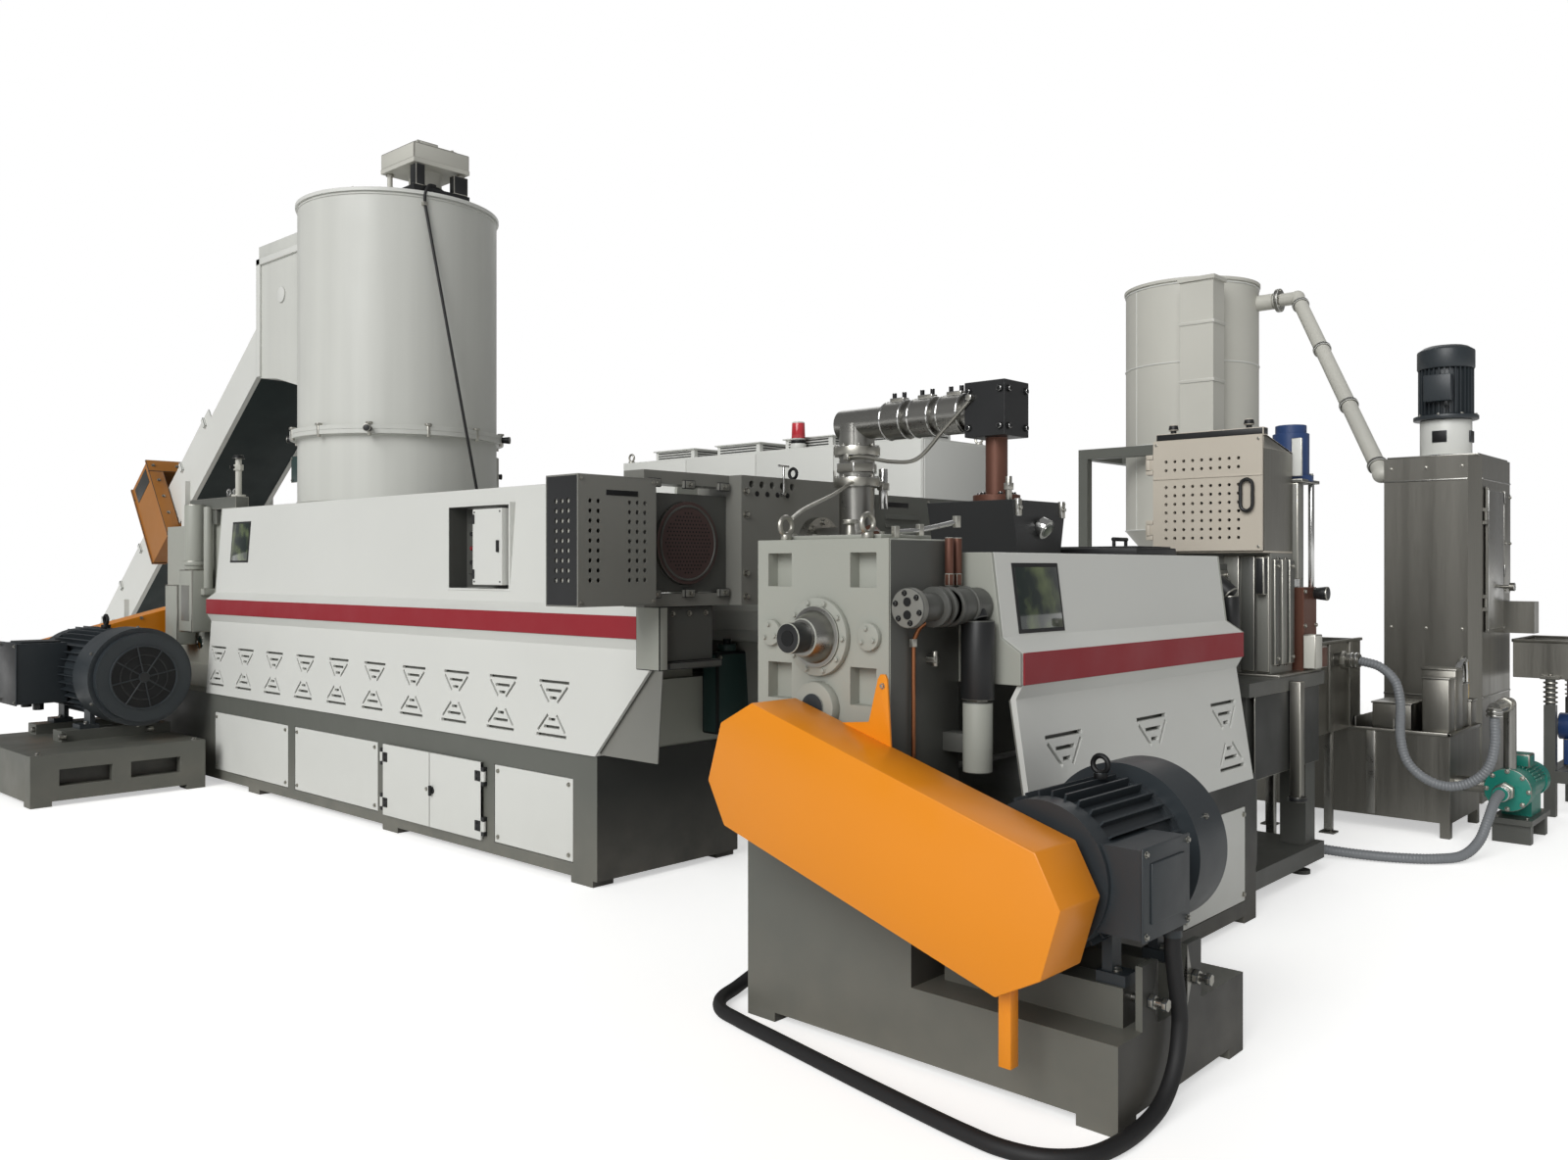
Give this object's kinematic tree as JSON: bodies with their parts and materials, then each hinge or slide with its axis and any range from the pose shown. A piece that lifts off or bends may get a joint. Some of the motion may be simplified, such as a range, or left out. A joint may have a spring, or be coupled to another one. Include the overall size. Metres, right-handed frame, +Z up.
{
  "type": "plastic pelletizing line",
  "caption": "L-shaped film recycling line: inclined feed belt, cutter compactor, cascaded extruders with white covers, cutter, water tank, dryer tower, sieve and pellet silo.",
  "frame": {"origin": "middle of the whole line on the floor", "axes": "+Y back along the first extruder toward the feed belt, +X along the flow of the second extruder, +Z up"},
  "size_m": [7.92, 12.6658, 4.325],
  "materials": {
    "white_paint": "satin powder coat",
    "grey_paint": "satin machine paint",
    "casting_paint": "painted casting",
    "dark_steel": "dark grey paint over steel",
    "slate_paint": "dark slate motor paint",
    "orange_paint": "orange guard paint",
    "red_paint": "red stripe paint",
    "stainless": "brushed stainless sheet",
    "bright_steel": "machined steel",
    "beige_sheet": "pale perforated sheet",
    "blue_paint": "blue motor paint",
    "teal_paint": "teal pump paint",
    "black_paint": "black paint",
    "brown_steel": "heat-browned steel",
    "black_rubber": "matte rubber",
    "grey_hose": "grey hose"
  },
  "bodies": {
    "line": {"first_frame": "grey_paint", "frame_panels": "white_paint", "door_hinges": "black_paint", "first_lower_covers": "white_paint", "first_upper_cover": "white_paint", "stripe_bands": "red_paint", "cover_end_plates": "casting_paint", "control_niche": "white_paint", "barrels": "dark_steel", "screen_changer": "casting_paint", "slide_plate": "bright_steel", "screen_guards": "dark_steel", "first_gearbox": "casting_paint", "first_motor": "slate_paint", "first_motor_base": "grey_paint", "first_belt_guard": "orange_paint", "compactor_stand": "grey_paint", "compactor_bowl": "white_paint", "compactor_drum": "white_paint", "compactor_lid": "white_paint", "lid_unit": "grey_paint", "compactor_motor": "teal_paint", "feed_hood": "white_paint", "conveyor_frame": "white_paint", "conveyor_belt": "black_rubber", "metal_detector": "orange_paint", "second_frame": "grey_paint", "second_gearbox": "casting_paint", "oil_pump": "slate_paint", "second_belt_guard": "orange_paint", "second_motor": "slate_paint", "second_lower_covers": "white_paint", "second_upper_cover": "white_paint", "vent_hopper": "black_paint", "melt_pipe": "bright_steel", "drop_pipe": "brown_steel", "die_changer": "dark_steel", "pelletizer_stand": "dark_steel", "cutter_housing": "stainless", "cutter_cage": "beige_sheet", "cutter_drive": "blue_paint", "water_tank": "stainless", "water_trough": "stainless", "water_pump": "teal_paint", "dryer_tower": "stainless", "tower_motor": "slate_paint", "sieve_trough": "stainless", "sieve_base": "dark_steel", "silo_shell": "white_paint", "silo_ends": "white_paint", "silo_stand": "grey_paint", "air_pipe": "stainless", "control_cabinet": "white_paint", "motor_cable": "black_rubber", "upper_hose": "grey_hose", "lower_hose": "grey_hose"},
    "service_door_left": {"service_door_left": "white_paint"},
    "service_door_right": {"service_door_right": "white_paint"},
    "cage_door": {"cage_door": "beige_sheet"},
    "tower_door": {"tower_door": "stainless"}
  },
  "joints": [
    {"name": "service_door_left_hinge", "type": "hinge", "parent": "line", "child": "service_door_left", "pos_m": [-2.824, -0.41491, 0.285], "axis": [0, 0, -1], "range_deg": [0, 110]},
    {"name": "service_door_right_hinge", "type": "hinge", "parent": "line", "child": "service_door_right", "pos_m": [-2.824, -1.40091, 0.285], "axis": [0, 0, 1], "range_deg": [0, 110]},
    {"name": "cage_door_hinge", "type": "hinge", "parent": "line", "child": "cage_door", "pos_m": [-0.834, -3.96891, 1.785], "axis": [0, 0, -1], "range_deg": [0, 100]},
    {"name": "tower_door_hinge", "type": "hinge", "parent": "line", "child": "tower_door", "pos_m": [1.602, -4.84691, 1.5], "axis": [0, 0, -1], "range_deg": [0, 110]}
  ]
}
